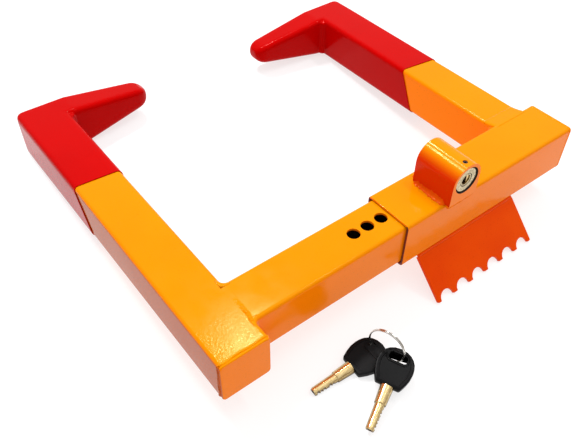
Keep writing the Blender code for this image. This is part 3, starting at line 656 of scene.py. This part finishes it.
def remeshed(bm, voxel):
    """One even skin round everything in bm."""
    mesh = bpy.data.meshes.new("raw_tip")
    bm.to_mesh(mesh)
    bm.free()
    raw = bpy.data.objects.new("raw_tip", mesh)
    bpy.context.scene.collection.objects.link(raw)
    remesh = raw.modifiers.new("Skin", "REMESH")
    remesh.mode = "VOXEL"
    remesh.voxel_size = voxel
    smooth = raw.modifiers.new("Smooth", "SMOOTH")
    smooth.factor = 0.5
    smooth.iterations = 5
    bpy.context.view_layer.update()
    graph = bpy.context.evaluated_depsgraph_get()
    done = bmesh.new()
    done.from_mesh(raw.evaluated_get(graph).to_mesh())
    bpy.data.objects.remove(raw)
    return done


def make_tip(side, arm_x, back_y, dip_y, skew):
    """The dipped coating: one soft skin over claw and arm, ended by a rolled lip at the slanted dip line."""
    inward = 1 if arm_x[0] < 0 else -1
    inner_x = arm_x[1] if inward > 0 else arm_x[0]
    bm = bmesh.new()
    bm.from_mesh(frame["nodes"][f"{side}_claw"].data)
    bmesh.ops.remove_doubles(bm, verts=bm.verts, dist=5e-6)
    bmesh.ops.transform(bm, matrix=LOCK.inverted(), verts=bm.verts)
    rounded_bar(bm, arm_x, dip_y - 40, back_y - CLAW_DEPTH + 10)
    corner_bar(bm, inner_x + inward * 0.8, back_y - CLAW_DEPTH - 0.8, 2.7)
    bm = remeshed(bm, 1.0)
    bm.normal_update()
    for vert in bm.verts:
        vert.co += vert.normal * (COAT - 0.05)
    middle = sum(arm_x) / 2
    cut = Vector((-skew, 1, -DIP_SLOPE)).normalized()
    parts = bm.verts[:] + bm.edges[:] + bm.faces[:]
    dip_line = (middle, dip_y, ARM_HIGH)
    bmesh.ops.bisect_plane(bm, geom=parts, plane_co=dip_line, plane_no=cut, clear_inner=True)
    bm.normal_update()
    for drop, ahead in ((0.22, 0.28), (0.45, -0.02)):
        edge = [e for e in bm.edges if e.is_boundary]
        made = bmesh.ops.extrude_edge_only(bm, edges=edge)["geom"]
        for vert in (g for g in made if isinstance(g, bmesh.types.BMVert)):
            axis_point = Vector((middle, vert.co.y, OUTER / 2))
            inwards = axis_point - vert.co
            inwards.y = 0
            vert.co += inwards.normalized() * drop - cut * ahead
    bmesh.ops.recalc_face_normals(bm, faces=bm.faces)
    bmesh.ops.transform(bm, matrix=LOCK, verts=bm.verts)
    tip = add_piece(f"{side}_tip_skin", bm, [RED], body_of(f"{side}_tip_coating"))
    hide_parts(f"{side}_tip_coating")


# Keys


def raise_rim(bm):
    """Sinks the middle of a bow's two flat faces, which leaves a rim round its edge and its slot."""
    bmesh.ops.remove_doubles(bm, verts=bm.verts, dist=0.08 * MM)
    bm.normal_update()
    widest = max(bm.faces, key=lambda f: f.calc_area()).normal.copy()
    for side in (1, -1):
        flat = [f for f in bm.faces if f.normal.dot(widest) * side > 0.999]
        bmesh.ops.inset_region(bm, faces=flat, thickness=1.7 * MM, depth=0.0)
        bmesh.ops.inset_region(bm, faces=flat, thickness=0.35 * MM, depth=-0.45 * MM)


def paint_bore_shade(way):
    """Gives the second material, a painted shade, to the bore in a blade's end. way is the direction from bow to
    tip.
    """

    def change(bm):
        last = max(v.co.dot(way) for v in bm.verts)
        facing = [f for f in bm.faces if f.normal.dot(way) > 0.9]
        ends = [f for f in facing if f.calc_center_median().dot(way) > last - 0.4 * MM]
        rim = {v for f in ends for v in f.verts}
        middle = sum((v.co for v in rim), Vector()) / len(rim)
        for face in bm.faces:
            offset = face.calc_center_median() - middle
            depth = -offset.dot(way)
            aside = (offset + way * depth).length
            if face not in ends and depth < 4 * MM and aside < 1.7 * MM:
                face.material_index = 1

    return change


def make_keys():
    for number in (1, 2):
        bow, blade = f"key_{number}_bow", f"key_{number}_blade"
        middle = [sum(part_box(node), Vector()) / 2 for node in (bow, blade)]
        way = (middle[1] - middle[0]).normalized()
        finish_node(bow, [BLACK], 0.25, raise_rim)
        # The blade's bore gets the near-black painted shade.
        finish_node(blade, [BRASS, HOLLOW_SHADE], 0.12, paint_bore_shade(way))
    finish_node("split_ring", [NICKEL], 0.05)


# The rest of the nodes


def finish_frame():
    # The tubes' inner walls, the housing's flank and bore, and the lock face's gaps get painted shade.
    finish_node("outer_tube", [ORANGE, MOUTH_SHADE], 0.35, paint_inside_shade(20.5))
    finish_node("inner_tube", [ORANGE, HOLLOW_SHADE], 0.45, paint_inside_shade(18.0))
    finish_node("outer_end_cap", [ORANGE], 0.9)
    finish_node("right_arm_tube", [ORANGE], 0.3)
    finish_node("left_arm_tube", [DRESSED_AND_SHADED_ORANGE], 0.3)
    finish_node("left_arm_end_plate", [DRESSED_AND_SHADED_ORANGE], 1.2)
    finish_node("anti_roll_plate", [PLATE_SHADE_ORANGE], 0.45)
    finish_node("lock_housing", [ORANGE, FLANK_SHADE_ORANGE, HOLLOW_SHADE], 0.8, paint_arch)
    finish_node("lock_barrel", [FACE_NICKEL, HOLLOW_SHADE], 0.4, paint_wall_shade(5.0, 7.5))
    finish_node("lock_plug", [FACE_NICKEL, HOLLOW_SHADE], 0.2, paint_wall_shade(5.5, 7.2))
    # The set screw gets the near-black painted shade, so its hole reads dark.
    finish_node("lock_set_screw", [HOLLOW_SHADE], 0.1)
    inner = dict.fromkeys(("right_claw", "left_claw", "side_bar", "lock_cam", "locking_bolt"), STEEL)
    for number in range(1, 7):
        inner[f"detainer_disc_{number}"] = DISC_BRASS
    for node, look in inner.items():
        frame["nodes"][node].material_slots[0].material = look


# Stage


def make_stage():
    bm = bmesh.new()
    bmesh.ops.create_grid(bm, x_segments=24, y_segments=24, size=4.0)
    mesh = bpy.data.meshes.new("floor")
    bm.to_mesh(mesh)
    bm.free()
    mesh.materials.append(floor_paint("floor_pale"))
    floor = bpy.data.objects.new("floor", mesh)
    bpy.context.scene.collection.objects.link(floor)


def area_light(name, place, target, size, power):
    light = bpy.data.lights.new(name, "AREA")
    light.shape = "RECTANGLE"
    light.size, light.size_y = size
    light.energy = power
    lamp = bpy.data.objects.new(name, light)
    lamp.location = place
    lamp.rotation_euler = (Vector(target) - Vector(place)).to_track_quat("-Z", "Y").to_euler()
    bpy.context.scene.collection.objects.link(lamp)


HORIZON = (0.34, 0.29, 0.25)  # the studio's light from low down
OVERHEAD = (1.20, 1.20, 1.20)  # and from straight above
CAMERA_PLACE = (-289.3, -223.2, 411.0)  # this and the two directions are in the lock's frame
CAMERA_RIGHT = (0.7891, -0.6141, 0.0120)
CAMERA_FORWARD = (0.4377, 0.5486, -0.7123)


def make_lights():
    world = bpy.data.worlds.new("studio")
    world.use_nodes = True
    tree = world.node_tree
    background = tree.nodes["Background"]
    place = tree.nodes.new("ShaderNodeTexCoord")
    apart = tree.nodes.new("ShaderNodeSeparateXYZ")
    rise = tree.nodes.new("ShaderNodeMix")
    rise.data_type = "RGBA"
    rise.inputs[6].default_value = (*HORIZON, 1.0)
    rise.inputs[7].default_value = (*OVERHEAD, 1.0)
    tree.links.new(place.outputs["Generated"], apart.inputs["Vector"])
    tree.links.new(apart.outputs["Z"], rise.inputs["Factor"])
    tree.links.new(rise.outputs[2], background.inputs["Color"])
    bpy.context.scene.world = world
    area_light("arch_light", (-0.26, 0.92, 1.66), (0.045, -0.11, 0.1), (0.40, 0.15), 19.0)
    area_light("corner_light", (0.40, 0.915, 1.55), (-0.17, -0.13, 0.07), (0.14, 0.12), 11.0)
    area_light("edge_light", (0.60, -0.16, 1.49), (-0.05, -0.11, 0.05), (0.60, 0.10), 5.0)


def make_camera():
    camera = bpy.data.cameras.new("camera")
    camera.sensor_width = 36.0
    camera.lens = 41.36
    camera.clip_start = 0.01
    view = bpy.data.objects.new("camera", camera)
    right = Vector(CAMERA_RIGHT)
    forward = Vector(CAMERA_FORWARD)
    up = right.cross(forward)
    pose = Matrix((right, up, -forward)).transposed().to_4x4()
    view.matrix_world = Matrix.Translation(LOCK @ Vector(CAMERA_PLACE)) @ TURN @ pose
    bpy.context.scene.collection.objects.link(view)
    bpy.context.scene.camera = view
    bpy.context.scene.view_settings.view_transform = "Standard"


finish_frame()
make_tip("left", LEFT_ARM_X, LEFT_BACK_Y, 194.0, -0.08)
make_tip("right", RIGHT_ARM_X, RIGHT_BACK_Y, 157.1, -0.125)
make_left_joint()
make_end_seams()
make_right_joint()
make_housing_welds()
make_plate_weld()
make_keys()
make_stage()
make_lights()
make_camera()
